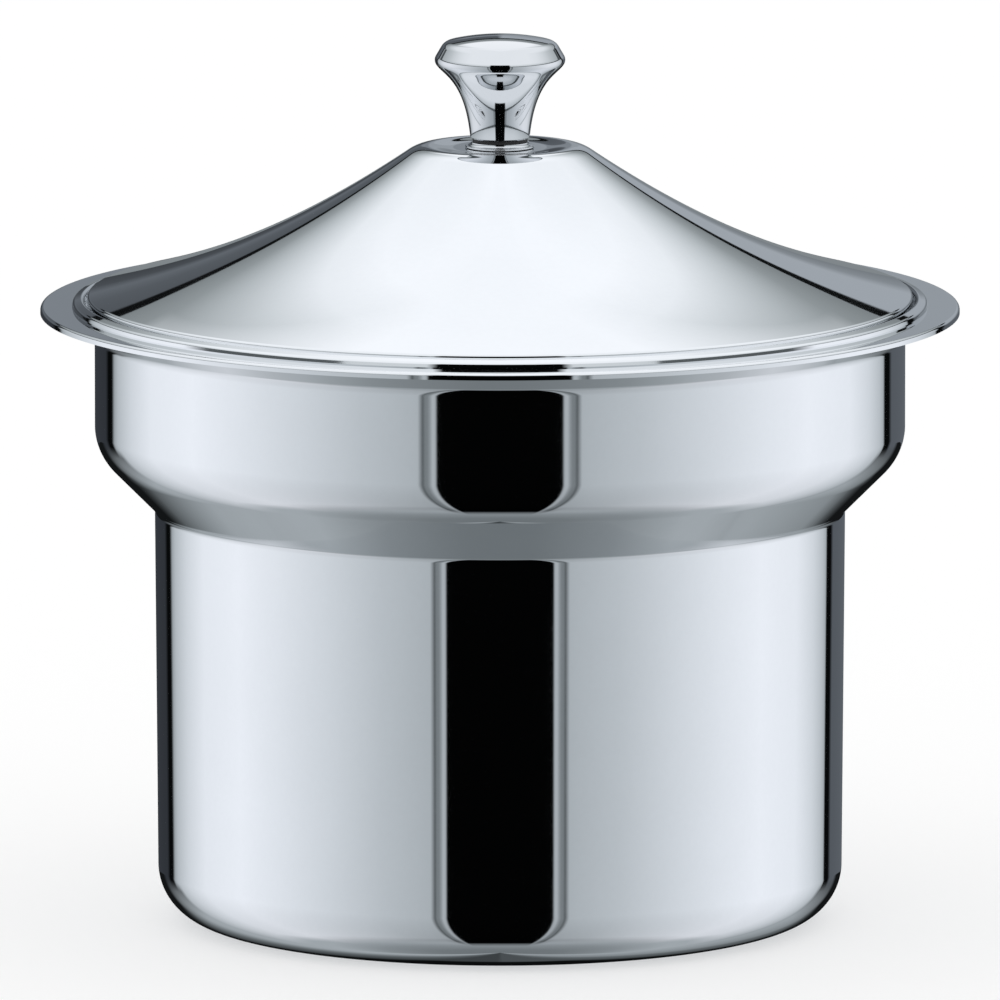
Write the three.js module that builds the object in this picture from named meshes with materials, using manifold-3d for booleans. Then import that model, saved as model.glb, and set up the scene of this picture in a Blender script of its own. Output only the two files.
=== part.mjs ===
// A buffet soup pot: a stepped, flanged steel pot with a lift-off lid and a screwed-on knob.
// Millimetres, +Z up, origin at the middle of the pot's flat base. Every outline is turned on Z.
import * as THREE from 'three';
import { mergeVertices } from 'three/addons/utils/BufferGeometryUtils.js';
import Module from 'manifold-3d';

const wasm = await Module();
wasm.setup();

const QUARTER = Math.PI / 2;
const HALF = Math.PI;
const FULL = 2 * Math.PI;

// Driving sizes of the pot
const POT_HEIGHT = 222.5;
const BAND_RADIUS = 145.5;
const BAND_DEPTH = 73.2;
const STEP_DEPTH = 21.5;
const WALL_DRAFT = 1;
const FLANGE_REACH = 19.5;
const BASE_CORNER = 20;
const CREASE_CORNER = 3;
const SHOULDER_CORNER = 20.5;
const SHOULDER_TILT = Math.PI / 4;
const NECK_DROP = 10.2;
const NECK_TILT = 0.63;
const NECK_CORNER = 5;
const NECK_TOP_BEND = 2;
const LIP_BEND = 0.2;
const LIP_DROP = 2.4;
const SHEET = 1;

// Driving sizes of the lid, with heights above the pot's flange
const LID_LAP = 0.85;
const LIP_FOOT = 0.3;
const LID_LIP = 1.3;
const LIP_TILT = 0.25;
const EDGE_ROLL = 1.3;
const BRIM_TILT = 0.3;
const CHANNEL_INSET = 3.6;
const CHANNEL_WIDTH = 1;
const CHANNEL_DEPTH = 1.9;
const CHANNEL_BEND = 1.2;
const SWEEP_FOOT_RISE = 4.3;
const SWEEP_FOOT_TILT = 0.25;
const SWEEP_FOOT_PULL = 35;
const SWEEP_TOP_TILT = 0.6;
const SWEEP_TOP_PULL = 57;
const CREST_RISE = 58;
const CREST_CORNER = 13;
const SEAT_MARGIN = 4;
const SEAT_DIP = 0.7;
const SEAT_DIP_RUN = 9.5;

// Driving sizes of the knob, with heights above its lower end
const KNOB_RADIUS = 23.4;
const KNOB_HEIGHT = 37;
const KNOB_DOME = 82;
const KNOB_SHOULDER = 5.8;
const KNOB_TOP_CORNER = 4;
const KNOB_SIDE_TILT = 0.52;
const KNOB_NOSE = 2.8;
const KNOB_NOSE_DROP = 8.75;
const KNOB_UNDER_TILT = 0.6;
const KNOB_UNDER_PULL = 4.5;
const NECK_RADIUS = 10.7;
const NECK_FLARE = 0.1;
const NECK_PULL = 20.2;
const NECK_CHAMFER = 0.5;
const KNOB_HOLE_SPARE = 1.3;

// Driving sizes of the pieces between the knob and the lid, and of the fastening below
const SPACER_INSET = 0.8;
const SPACER_THICK = 1.3;
const FOOT_TOP_INSET = 0.3;
const FOOT_SPREAD = 1.8;
const FOOT_HEIGHT = 1.9;
const FOOT_EDGE = 0.6;
const SEAL_INSET = 2;
const SEAL_THICK = 0.2;
const SCREW_RADIUS = 3;
const SCREW_LENGTH = 20;
const SCREW_CHAMFER = 0.6;
const HEAD_RADIUS = 5.5;
const HEAD_HEIGHT = 3.4;
const HEAD_CORNER = 1.6;
const SLOT_WIDTH = 1.4;
const SLOT_DEPTH = 1.6;
const PLAIN_WASHER_RADIUS = 9;
const PLAIN_WASHER_THICK = 1.2;
const LOCK_WASHER_RADIUS = 5.9;
const LOCK_WASHER_THICK = 1.6;
const LOCK_WASHER_GAP = 0.12;
const CLEARANCE = 0.3;

// How finely the turned pieces are faceted
const SHEET_SIDES = 48;
const KNOB_SIDES = 32;
const SMALL_SIDES = 24;

// Sizes and heights that several pieces share
const wallTopRadius = BAND_RADIUS - STEP_DEPTH;
const flangeRadius = BAND_RADIUS + FLANGE_REACH;
const neckFootReach = NECK_CORNER * (1 - Math.cos(NECK_TILT));
const neckBendRises = NECK_CORNER * Math.sin(NECK_TILT) + NECK_TOP_BEND * (1 - Math.sin(NECK_TILT));
const neckConeReach = (NECK_DROP - neckBendRises) * Math.tan(NECK_TILT);
const neckEnd = BAND_RADIUS + neckFootReach + neckConeReach + NECK_TOP_BEND * Math.cos(NECK_TILT);
const footRadius = NECK_RADIUS + FOOT_SPREAD;
const seatRadius = footRadius + SEAT_MARGIN;
const looseHole = SCREW_RADIUS + CLEARANCE;
const seatTop = POT_HEIGHT + CREST_RISE - SEAT_DIP;
const footFloor = seatTop + SEAL_THICK;
const spacerFloor = footFloor + FOOT_HEIGHT;
const knobFloor = spacerFloor + SPACER_THICK;
const plainWasherFloor = seatTop - SHEET - PLAIN_WASHER_THICK;
const lockWasherFloor = plainWasherFloor - LOCK_WASHER_THICK;

const steel = { color: 0xd4dade, roughness: 0.08, metalness: 1 };
const fastenerSteel = { color: 0xb0b4b8, roughness: 0.35, metalness: 1 };
const blackSilicone = { color: 0x16181a, roughness: 0.6, metalness: 0 };

const at = (radius, height) => new THREE.Vector2(radius, height);
const heading = (angle) => at(Math.cos(angle), Math.sin(angle));
const moved = (point, angle, far) => point.clone().addScaledVector(heading(angle), far);

// An arc as points, from one angle to another.
function arc(centre, radius, from, to, steps) {
  const turns = Array.from({ length: steps + 1 }, (_, i) => from + ((to - from) * i) / steps);
  return turns.map((turn) => moved(centre, turn, radius));
}

// A curve that leaves start along one angle and arrives at end along another.
function sweep(start, startAngle, startPull, end, endAngle, endPull, steps) {
  const startHandle = moved(start, startAngle, startPull);
  const endHandle = moved(end, endAngle + HALF, endPull);
  return new THREE.CubicBezierCurve(start, startHandle, endHandle, end).getPoints(steps);
}

// The outline of a sheet: the line itself, then back along the same line moved to its left.
function sheetOutline(line) {
  const other = line.map((point, i) => {
    const into = point.clone().sub(line[Math.max(i - 1, 0)]).normalize();
    const out = line[Math.min(i + 1, line.length - 1)].clone().sub(point).normalize();
    const along = into.clone().add(out).normalize();
    const far = SHEET / along.dot(i > 0 ? into : out);
    return moved(point, along.angle() + QUARTER, far);
  });
  return [...line, ...other.reverse()];
}

function turned(outline, sides) {
  return new THREE.LatheGeometry(outline, sides).rotateX(QUARTER);
}

function turnedRing(outline, sides) {
  return turned([...outline, outline[0].clone()], sides);
}

function washer(inner, outer, thick, sides) {
  return turnedRing([at(inner, 0), at(outer, 0), at(outer, thick), at(inner, thick)], sides);
}

function solid(geometry) {
  const bare = geometry.clone().deleteAttribute('normal').deleteAttribute('uv');
  const merged = mergeVertices(bare);
  const mesh = { numProp: 3, vertProperties: merged.attributes.position.array, triVerts: merged.index.array };
  return new wasm.Manifold(new wasm.Mesh(mesh));
}

function cut(geometry, tool) {
  const left = solid(geometry).subtract(solid(tool)).getMesh();
  const result = new THREE.BufferGeometry();
  result.setAttribute('position', new THREE.BufferAttribute(left.vertProperties, 3));
  result.setIndex(new THREE.BufferAttribute(left.triVerts, 1));
  return result;
}

// The pot's outside, from the middle of the base to the foot of the flange's lip
function potShell() {
  const coneTop = BAND_RADIUS - SHOULDER_CORNER * (1 - Math.cos(SHOULDER_TILT));
  const coneRise = (coneTop - wallTopRadius) / Math.tan(SHOULDER_TILT);
  const creaseHeight = POT_HEIGHT - BAND_DEPTH;
  const bandFoot = creaseHeight + coneRise + SHOULDER_CORNER * Math.sin(SHOULDER_TILT);
  const creaseReach = CREASE_CORNER * Math.tan(SHOULDER_TILT / 2);
  const baseCentre = at(wallTopRadius - WALL_DRAFT - BASE_CORNER, BASE_CORNER);
  const creaseCentre = at(wallTopRadius + CREASE_CORNER, creaseHeight - creaseReach);
  const shoulderCentre = at(BAND_RADIUS - SHOULDER_CORNER, bandFoot);
  const neckFootCentre = at(BAND_RADIUS + NECK_CORNER, POT_HEIGHT - SHEET - NECK_DROP);
  const neckTopCentre = at(neckEnd, POT_HEIGHT - SHEET - NECK_TOP_BEND);
  const lipCentre = at(flangeRadius - SHEET - LIP_BEND, POT_HEIGHT - SHEET - LIP_BEND);
  const outside = [
    at(0, 0),
    ...arc(baseCentre, BASE_CORNER, -QUARTER, 0, 5),
    ...arc(creaseCentre, CREASE_CORNER, HALF, HALF - SHOULDER_TILT, 2),
    ...arc(shoulderCentre, SHOULDER_CORNER, -SHOULDER_TILT, 0, 4),
    ...arc(neckFootCentre, NECK_CORNER, HALF, HALF - NECK_TILT, 2),
    ...arc(neckTopCentre, NECK_TOP_BEND, HALF - NECK_TILT, QUARTER, 2),
    ...arc(lipCentre, LIP_BEND, QUARTER, 0, 2),
    at(flangeRadius - SHEET, POT_HEIGHT - LIP_DROP),
  ];
  return turned(sheetOutline(outside), SHEET_SIDES);
}

// The lid's upper face from its edge inwards to the screw hole: the edge and brim, the channel
// that drops into the pot's mouth, the long sweep, and the crown with the dipped seat of the knob
function lidShell() {
  const lidRadius = neckEnd + LID_LAP;
  const lipTop = at(lidRadius - (LID_LIP - LIP_FOOT) * Math.tan(LIP_TILT), LID_LIP);
  const rollCentre = moved(lipTop, LIP_TILT, -EDGE_ROLL);
  const edge = arc(rollCentre, EDGE_ROLL, LIP_TILT, QUARTER - BRIM_TILT, 3);
  const farWall = neckEnd - CHANNEL_INSET;
  const nearWall = farWall - CHANNEL_WIDTH;
  const brimEnd = edge[edge.length - 1];
  const brimRun = brimEnd.x - farWall - CHANNEL_BEND * (1 + Math.sin(BRIM_TILT));
  const brimTop = brimEnd.y + brimRun * Math.tan(BRIM_TILT);
  const brimCentre = at(farWall + CHANNEL_BEND, brimTop - CHANNEL_BEND * Math.cos(BRIM_TILT));
  const channelCentre = at(farWall - CHANNEL_WIDTH / 2, SHEET + CHANNEL_WIDTH / 2 - CHANNEL_DEPTH);
  const nearCentre = at(nearWall - CHANNEL_BEND, SWEEP_FOOT_RISE - CHANNEL_BEND * Math.cos(SWEEP_FOOT_TILT));
  const nearBend = arc(nearCentre, CHANNEL_BEND, 0, QUARTER - SWEEP_FOOT_TILT, 2);
  const crestCentre = at(seatRadius + SEAT_DIP_RUN, CREST_RISE - CREST_CORNER);
  const crest = arc(crestCentre, CREST_CORNER, QUARTER - SWEEP_TOP_TILT, QUARTER, 3);
  const sweepFoot = nearBend[nearBend.length - 1];
  const flank = sweep(sweepFoot, HALF - SWEEP_FOOT_TILT, SWEEP_FOOT_PULL,
    crest[0], HALF - SWEEP_TOP_TILT, SWEEP_TOP_PULL, 8);
  const seatEdge = at(seatRadius, CREST_RISE - SEAT_DIP);
  const dip = [3, 2, 1].map((step) => {
    const share = step / 4;
    const rise = (SEAT_DIP * (1 - Math.cos(HALF * share))) / 2;
    return at(seatRadius + SEAT_DIP_RUN * share, seatEdge.y + rise);
  });
  const upper = [
    at(lidRadius, 0),
    at(lidRadius, LIP_FOOT),
    ...edge,
    ...arc(brimCentre, CHANNEL_BEND, QUARTER - BRIM_TILT, HALF, 3),
    ...arc(channelCentre, CHANNEL_WIDTH / 2, 0, -HALF, 4),
    ...nearBend,
    ...flank.slice(1),
    ...crest.slice(1),
    ...dip,
    seatEdge,
    at(looseHole, seatEdge.y),
  ];
  return turnedRing(sheetOutline(upper), SHEET_SIDES);
}

// The knob with the blind hole that its screw goes up into
function knob() {
  const holeDepth = lockWasherFloor + SCREW_LENGTH + KNOB_HOLE_SPARE - knobFloor;
  const noseCentre = at(KNOB_RADIUS - KNOB_NOSE, KNOB_HEIGHT - KNOB_NOSE_DROP);
  const domeCentre = at(0, KNOB_HEIGHT - KNOB_DOME);
  const domeTilt = Math.asin((KNOB_RADIUS - KNOB_SHOULDER) / (KNOB_DOME - KNOB_TOP_CORNER));
  const topCentre = moved(domeCentre, QUARTER - domeTilt, KNOB_DOME - KNOB_TOP_CORNER);
  const nose = arc(noseCentre, KNOB_NOSE, -KNOB_UNDER_TILT, KNOB_SIDE_TILT, 3);
  const neckFoot = at(NECK_RADIUS, NECK_CHAMFER);
  const neck = sweep(neckFoot, QUARTER - NECK_FLARE, NECK_PULL,
    nose[0], QUARTER - KNOB_UNDER_TILT, KNOB_UNDER_PULL, 8);
  const outline = [
    at(0, holeDepth),
    at(looseHole, holeDepth),
    at(looseHole, 0),
    at(NECK_RADIUS - NECK_CHAMFER, 0),
    ...neck,
    ...nose.slice(1),
    ...arc(topCentre, KNOB_TOP_CORNER, KNOB_SIDE_TILT, QUARTER - domeTilt, 3),
    ...arc(domeCentre, KNOB_DOME, QUARTER - domeTilt, QUARTER, 3).slice(1, -1),
    at(0, KNOB_HEIGHT),
  ];
  return turned(outline, KNOB_SIDES);
}

// The bell-shaped ring that spreads the knob's load on the crown
function knobFoot() {
  const flareRise = FOOT_HEIGHT - FOOT_EDGE;
  const flareCentre = at(NECK_RADIUS - FOOT_TOP_INSET + flareRise, FOOT_HEIGHT);
  const outline = [
    at(looseHole, 0),
    at(footRadius, 0),
    at(footRadius, FOOT_EDGE),
    ...arc(flareCentre, flareRise, -QUARTER, -HALF, 4),
    at(looseHole, FOOT_HEIGHT),
  ];
  return turnedRing(outline, KNOB_SIDES);
}

// A pan-head screw, head down, with its height counted from the bearing face under the head
function knobScrew() {
  const headCentre = at(HEAD_RADIUS - HEAD_CORNER, HEAD_CORNER - HEAD_HEIGHT);
  const outline = [
    at(0, -HEAD_HEIGHT),
    ...arc(headCentre, HEAD_CORNER, -QUARTER, 0, 4),
    at(HEAD_RADIUS, 0),
    at(SCREW_RADIUS, 0),
    at(SCREW_RADIUS, SCREW_LENGTH - SCREW_CHAMFER),
    at(SCREW_RADIUS - SCREW_CHAMFER, SCREW_LENGTH),
    at(0, SCREW_LENGTH),
  ];
  const slot = new THREE.BoxGeometry(4 * HEAD_RADIUS, SLOT_WIDTH, 2 * SLOT_DEPTH);
  return cut(turned(outline, SMALL_SIDES), slot.translate(0, 0, -HEAD_HEIGHT));
}

// A ring split on one side, as a spring washer is
function lockWasher() {
  const shape = new THREE.Shape();
  shape.absarc(0, 0, LOCK_WASHER_RADIUS, LOCK_WASHER_GAP, FULL - LOCK_WASHER_GAP, false);
  shape.absarc(0, 0, looseHole, FULL - LOCK_WASHER_GAP, LOCK_WASHER_GAP, true);
  const settings = { depth: LOCK_WASHER_THICK, bevelEnabled: false, curveSegments: SMALL_SIDES };
  return new THREE.ExtrudeGeometry(shape, settings);
}

const group = new THREE.Group();

function place(name, geometry, finish, height) {
  const mesh = new THREE.Mesh(geometry, new THREE.MeshStandardMaterial(finish));
  mesh.name = name;
  mesh.position.z = height;
  group.add(mesh);
}

const seal = washer(looseHole, footRadius - SEAL_INSET, SEAL_THICK, KNOB_SIDES);
const spacer = washer(looseHole, NECK_RADIUS - SPACER_INSET, SPACER_THICK, KNOB_SIDES);

// The pieces on the screw stack on both sides of the lid's seat.
place('pot_shell', potShell(), steel, 0);
place('lid_shell', lidShell(), steel, POT_HEIGHT);
place('foot_seal', seal, blackSilicone, seatTop);
place('knob_foot', knobFoot(), steel, footFloor);
place('knob_spacer', spacer, blackSilicone, spacerFloor);
place('knob', knob(), steel, knobFloor);
place('plain_washer', washer(looseHole, PLAIN_WASHER_RADIUS, PLAIN_WASHER_THICK, SMALL_SIDES),
  fastenerSteel, plainWasherFloor);
place('lock_washer', lockWasher(), fastenerSteel, lockWasherFloor);
place('knob_screw', knobScrew(), fastenerSteel, lockWasherFloor);

export default group;
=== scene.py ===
"""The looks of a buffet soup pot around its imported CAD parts: finer turned steel pieces in the parts'
places, their materials, a plain white studio and the photograph's camera. Metres, +Z up. The outlines are
in millimetres and radians, and the studio's angles are in degrees."""

import math

import bpy
import numpy as np
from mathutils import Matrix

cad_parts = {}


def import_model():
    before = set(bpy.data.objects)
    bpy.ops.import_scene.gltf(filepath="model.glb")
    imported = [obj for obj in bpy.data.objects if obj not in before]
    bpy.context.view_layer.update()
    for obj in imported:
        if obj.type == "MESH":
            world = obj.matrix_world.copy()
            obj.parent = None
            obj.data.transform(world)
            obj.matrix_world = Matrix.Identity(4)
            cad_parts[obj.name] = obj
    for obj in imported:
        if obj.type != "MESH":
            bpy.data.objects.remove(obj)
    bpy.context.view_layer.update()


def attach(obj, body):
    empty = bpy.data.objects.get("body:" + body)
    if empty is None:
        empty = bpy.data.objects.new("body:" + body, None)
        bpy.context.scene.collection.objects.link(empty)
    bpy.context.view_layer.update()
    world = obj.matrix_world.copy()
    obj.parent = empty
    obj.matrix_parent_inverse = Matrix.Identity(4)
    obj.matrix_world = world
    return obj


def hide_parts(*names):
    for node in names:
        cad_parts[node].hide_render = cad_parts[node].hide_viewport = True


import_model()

MM = 0.001
QUARTER = math.pi / 2
HALF = math.pi
FULL = 2 * math.pi

# Driving sizes of the pot, as in the part's source
POT_HEIGHT = 222.5
BAND_RADIUS = 145.5
BAND_DEPTH = 73.2
STEP_DEPTH = 21.5
WALL_DRAFT = 1.0
FLANGE_REACH = 19.5
BASE_CORNER = 20.0
CREASE_CORNER = 3.0
SHOULDER_CORNER = 20.5
SHOULDER_TILT = math.pi / 4
NECK_DROP = 10.2
NECK_TILT = 0.63
NECK_CORNER = 5.0
NECK_TOP_BEND = 2.0
LIP_BEND = 0.2
LIP_DROP = 2.4
SHEET = 1.0

# Driving sizes of the lid, with heights above the pot's flange
LID_LAP = 0.85
LIP_FOOT = 0.3
LID_LIP = 1.3
LIP_TILT = 0.25
EDGE_ROLL = 1.3
BRIM_TILT = 0.3
CHANNEL_INSET = 3.6
CHANNEL_WIDTH = 1.0
CHANNEL_DEPTH = 1.9
CHANNEL_BEND = 1.2
SWEEP_FOOT_RISE = 4.3
SWEEP_FOOT_TILT = 0.25
SWEEP_FOOT_PULL = 35.0
SWEEP_TOP_TILT = 0.6
SWEEP_TOP_PULL = 57.0
CREST_RISE = 58.0
CREST_CORNER = 13.0
SEAT_MARGIN = 4.0
SEAT_DIP = 0.7
SEAT_DIP_RUN = 9.5

# Driving sizes of the knob, with heights above its lower end
KNOB_RADIUS = 23.4
KNOB_HEIGHT = 37.0
KNOB_DOME = 82.0
KNOB_SHOULDER = 5.8
KNOB_TOP_CORNER = 4.0
KNOB_SIDE_TILT = 0.52
KNOB_NOSE = 2.8
KNOB_NOSE_DROP = 8.75
KNOB_UNDER_TILT = 0.6
KNOB_UNDER_PULL = 4.5
NECK_RADIUS = 10.7
NECK_FLARE = 0.1
NECK_PULL = 20.2
NECK_CHAMFER = 0.5
KNOB_HOLE_SPARE = 1.3

# Driving sizes of the pieces between the knob and the lid, and of the fastening below
SPACER_INSET = 0.8
SPACER_THICK = 1.3
SPACER_EDGE = 0.2
FOOT_TOP_INSET = 0.3
FOOT_SPREAD = 1.8
FOOT_HEIGHT = 1.9
FOOT_EDGE = 0.6
FOOT_ROUND = 0.25
SEAL_INSET = 2.0
SEAL_THICK = 0.2
SEAL_EDGE = 0.1
SCREW_RADIUS = 3.0
SCREW_LENGTH = 20.0
SCREW_CHAMFER = 0.6
HEAD_RADIUS = 5.5
HEAD_HEIGHT = 3.4
HEAD_CORNER = 1.6
SLOT_WIDTH = 1.4
SLOT_DEPTH = 1.6
SLOT_OVERRUN = 3.5
SLOT_CUT_BELOW = 3.0
PLAIN_WASHER_RADIUS = 9.0
PLAIN_WASHER_THICK = 1.2
PLAIN_WASHER_EDGE = 0.3
LOCK_WASHER_RADIUS = 5.9
LOCK_WASHER_THICK = 1.6
LOCK_WASHER_EDGE = 0.15
LOCK_WASHER_GAP = 0.12
LOCK_WASHER_SLANT = 0.10
CLEARANCE = 0.3

# Sizes and heights that several pieces share
WALL_TOP_RADIUS = BAND_RADIUS - STEP_DEPTH
WALL_FOOT_RADIUS = WALL_TOP_RADIUS - WALL_DRAFT
CREASE_HEIGHT = POT_HEIGHT - BAND_DEPTH
FLANGE_RADIUS = BAND_RADIUS + FLANGE_REACH
NECK_FOOT_REACH = NECK_CORNER * (1 - math.cos(NECK_TILT))
NECK_BEND_RISES = NECK_CORNER * math.sin(NECK_TILT) + NECK_TOP_BEND * (1 - math.sin(NECK_TILT))
NECK_CONE_REACH = (NECK_DROP - NECK_BEND_RISES) * math.tan(NECK_TILT)
NECK_END = BAND_RADIUS + NECK_FOOT_REACH + NECK_CONE_REACH + NECK_TOP_BEND * math.cos(NECK_TILT)
LID_RADIUS = NECK_END + LID_LAP
FOOT_RADIUS = NECK_RADIUS + FOOT_SPREAD
SEAT_RADIUS = FOOT_RADIUS + SEAT_MARGIN
LOOSE_HOLE = SCREW_RADIUS + CLEARANCE
SEAT_TOP = POT_HEIGHT + CREST_RISE - SEAT_DIP
FOOT_FLOOR = SEAT_TOP + SEAL_THICK
SPACER_FLOOR = FOOT_FLOOR + FOOT_HEIGHT
KNOB_FLOOR = SPACER_FLOOR + SPACER_THICK
PLAIN_WASHER_FLOOR = SEAT_TOP - SHEET - PLAIN_WASHER_THICK
LOCK_WASHER_FLOOR = PLAIN_WASHER_FLOOR - LOCK_WASHER_THICK

# How finely the outlines are stepped and turned
ARC_STEP = math.radians(3)
BEND_STEP = 2 * ARC_STEP
HEAD_STEP = QUARTER / 6
EDGE_STEP = QUARTER / 4
DOME_STEPS = 8
SWEEP_STEPS = 72
DIP_STEPS = 14
SHEET_SIDES = 224
KNOB_SIDES = 144
SMALL_SIDES = 72
LOCK_WASHER_STEPS = 64

# How far from a straight run's ends its support points lie, the sharpest kink that is still smoothed, and
# how near two points of an outline, or a point and the axis, have to be to count as one
SUPPORT = 0.8
KINK = math.radians(4)
SAME_POINT = 1e-7
ON_AXIS = 1e-9


def arc(centre, radius, start, end, step=ARC_STEP):
    """An arc as rows of radius, height and heading."""
    count = max(3, math.ceil(abs(end - start) / step))
    turns = np.linspace(start, end, count + 1)
    ahead = QUARTER if end > start else -QUARTER
    x = centre[0] + radius * np.cos(turns)
    z = centre[1] + radius * np.sin(turns)
    return np.column_stack([x, z, turns + ahead])


def corner(x, z):
    """A point with no heading of its own, which keeps a sharp corner."""
    return np.array([[x, z, np.nan]])


def sweep(start, start_angle, start_pull, end, end_angle, end_pull):
    """A curve that leaves start along one angle and arrives at end along another."""
    a = np.array(start)
    b = a + start_pull * np.array([math.cos(start_angle), math.sin(start_angle)])
    d = np.array(end)
    c = d - end_pull * np.array([math.cos(end_angle), math.sin(end_angle)])
    t = np.linspace(0, 1, SWEEP_STEPS + 1)[:, None]
    at = (1 - t) ** 3 * a + 3 * (1 - t) ** 2 * t * b + 3 * (1 - t) * t**2 * c + t**3 * d
    way = (1 - t) ** 2 * (b - a) + 2 * (1 - t) * t * (c - b) + t**2 * (d - c)
    return np.column_stack([at, np.arctan2(way[:, 1], way[:, 0])])


def line_between(a, b):
    """A straight run with a support point near each end, so that only its ends take part in smoothing."""
    way = b[:2] - a[:2]
    length = float(np.hypot(*way))
    heading = math.atan2(way[1], way[0])
    shares = [0, 1]
    if length > 3 * SUPPORT:
        shares = [0, SUPPORT / length, 1 - SUPPORT / length, 1]
    return np.array([[*(a[:2] + way * share), heading] for share in shares])


def apart(a, b):
    return np.hypot(*(a[:2] - b[:2])) > SAME_POINT


def with_lines(runs, closed):
    """The runs, with a straight line wherever one ends away from the start of the next."""
    full = []
    for i, run in enumerate(runs):
        if i and apart(run[0], runs[i - 1][-1]):
            full.append(line_between(runs[i - 1][-1], run[0]))
        if not np.isnan(run[0, 2]):
            full.append(run)
    if closed:
        full.append(line_between(runs[-1][-1], runs[0][0]))
    return full


def joined(runs, closed=False):
    """Outline points with the heading before and after each, from runs joined by straight lines."""
    points, before, after = [], [], []
    for run in with_lines(runs, closed):
        for j, row in enumerate(run):
            if j == 0 and points and not apart(row, points[-1]):
                after[-1] = row[2]
                continue
            points.append(row[:2])
            before.append(row[2])
            after.append(row[2])
    if closed:
        before[0] = before.pop()
        after.pop()
        points.pop()
    before, after = np.array(before), np.array(after)
    turn = np.angle(np.exp(1j * (after - before)))
    soft = np.abs(turn) < KINK
    middle = before + turn / 2
    return np.array(points), np.where(soft, middle, before), np.where(soft, middle, after)


def sheet_outline(runs, closed=False):
    """The outline of a sheet: the line itself, then back along the same line moved to its left. A closed
    one has headings across both of its cut ends."""
    points, before, after = joined(runs)
    turn = np.angle(np.exp(1j * (after - before)))
    across = before + turn / 2 + QUARTER
    far = SHEET / np.cos(turn / 2)
    other = points + (far * np.array([np.cos(across), np.sin(across)])).T
    every = np.vstack([points, other[::-1]])
    befores = np.concatenate([before, after[::-1] + HALF])
    afters = np.concatenate([after, before[::-1] + HALF])
    n = len(points)
    if closed:
        befores[0] = afters[-1] = math.atan2(*(points[0] - other[0])[::-1])
    afters[n - 1] = befores[n] = math.atan2(*(other[-1] - points[-1])[::-1])
    return every, befores, afters


def new_object(name, verts, faces):
    """A mesh object in the scene, from corners in metres."""
    mesh = bpy.data.meshes.new(name)
    mesh.from_pydata(verts, [], faces)
    obj = bpy.data.objects.new(name, mesh)
    bpy.context.scene.collection.objects.link(obj)
    return obj


def turned(name, outline, sides, base=0.0, closed=False):
    """A piece turned on Z, with exact normals, from an outline that runs anticlockwise in radius and height
    above the base."""
    points, before, after = outline
    count = len(points)
    last = count if closed else count - 1
    angles = np.linspace(0, FULL, sides, endpoint=False)
    verts, rings = [], []
    for x, z in (points + [0, base]) * MM:
        if abs(x) < ON_AXIS:
            rings.append([len(verts)] * sides)
            verts.append((0.0, 0.0, z))
            continue
        rings.append(list(range(len(verts), len(verts) + sides)))
        verts += [(x * math.cos(a), x * math.sin(a), z) for a in angles]
    faces, normals = [], []
    for i in range(last):
        j = (i + 1) % count
        low = (math.sin(after[i]), -math.cos(after[i]))
        high = (math.sin(before[j]), -math.cos(before[j]))
        for k in range(sides):
            m = (k + 1) % sides
            corners = [
                (rings[i][k], low, k),
                (rings[i][m], low, m),
                (rings[j][m], high, m),
                (rings[j][k], high, k),
            ]
            if rings[i][k] == rings[i][m]:
                corners.pop(0)
            elif rings[j][k] == rings[j][m]:
                corners.pop()
            if len({c[0] for c in corners}) < 3:
                continue
            faces.append([c[0] for c in corners])
            for _, (out, up), q in corners:
                normals.append((out * math.cos(angles[q]), out * math.sin(angles[q]), up))
    obj = new_object(name, verts, faces)
    obj.data.polygons.foreach_set("use_smooth", [True] * len(faces))
    obj.data.normals_split_custom_set(normals)
    return obj


# The pieces
def pot_shell():
    """The drawn pot: base, wall, step, band, neck, and the flange with its turned-down lip."""
    cone_top = BAND_RADIUS - SHOULDER_CORNER * (1 - math.cos(SHOULDER_TILT))
    cone_rise = (cone_top - WALL_TOP_RADIUS) / math.tan(SHOULDER_TILT)
    band_foot = CREASE_HEIGHT + cone_rise + SHOULDER_CORNER * math.sin(SHOULDER_TILT)
    crease_foot = CREASE_HEIGHT - CREASE_CORNER * math.tan(SHOULDER_TILT / 2)
    top = POT_HEIGHT - SHEET
    lip_radius = FLANGE_RADIUS - SHEET
    runs = [
        corner(0, 0),
        arc((WALL_FOOT_RADIUS - BASE_CORNER, BASE_CORNER), BASE_CORNER, -QUARTER, 0),
        arc((WALL_TOP_RADIUS + CREASE_CORNER, crease_foot), CREASE_CORNER, HALF, HALF - SHOULDER_TILT),
        arc((BAND_RADIUS - SHOULDER_CORNER, band_foot), SHOULDER_CORNER, -SHOULDER_TILT, 0),
        arc((BAND_RADIUS + NECK_CORNER, top - NECK_DROP), NECK_CORNER, HALF, HALF - NECK_TILT),
        arc((NECK_END, top - NECK_TOP_BEND), NECK_TOP_BEND, HALF - NECK_TILT, QUARTER, BEND_STEP),
        arc((lip_radius - LIP_BEND, top - LIP_BEND), LIP_BEND, QUARTER, 0, EDGE_STEP),
        corner(lip_radius, POT_HEIGHT - LIP_DROP),
    ]
    return turned("pot_drawn_shell", sheet_outline(runs), SHEET_SIDES)


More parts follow.
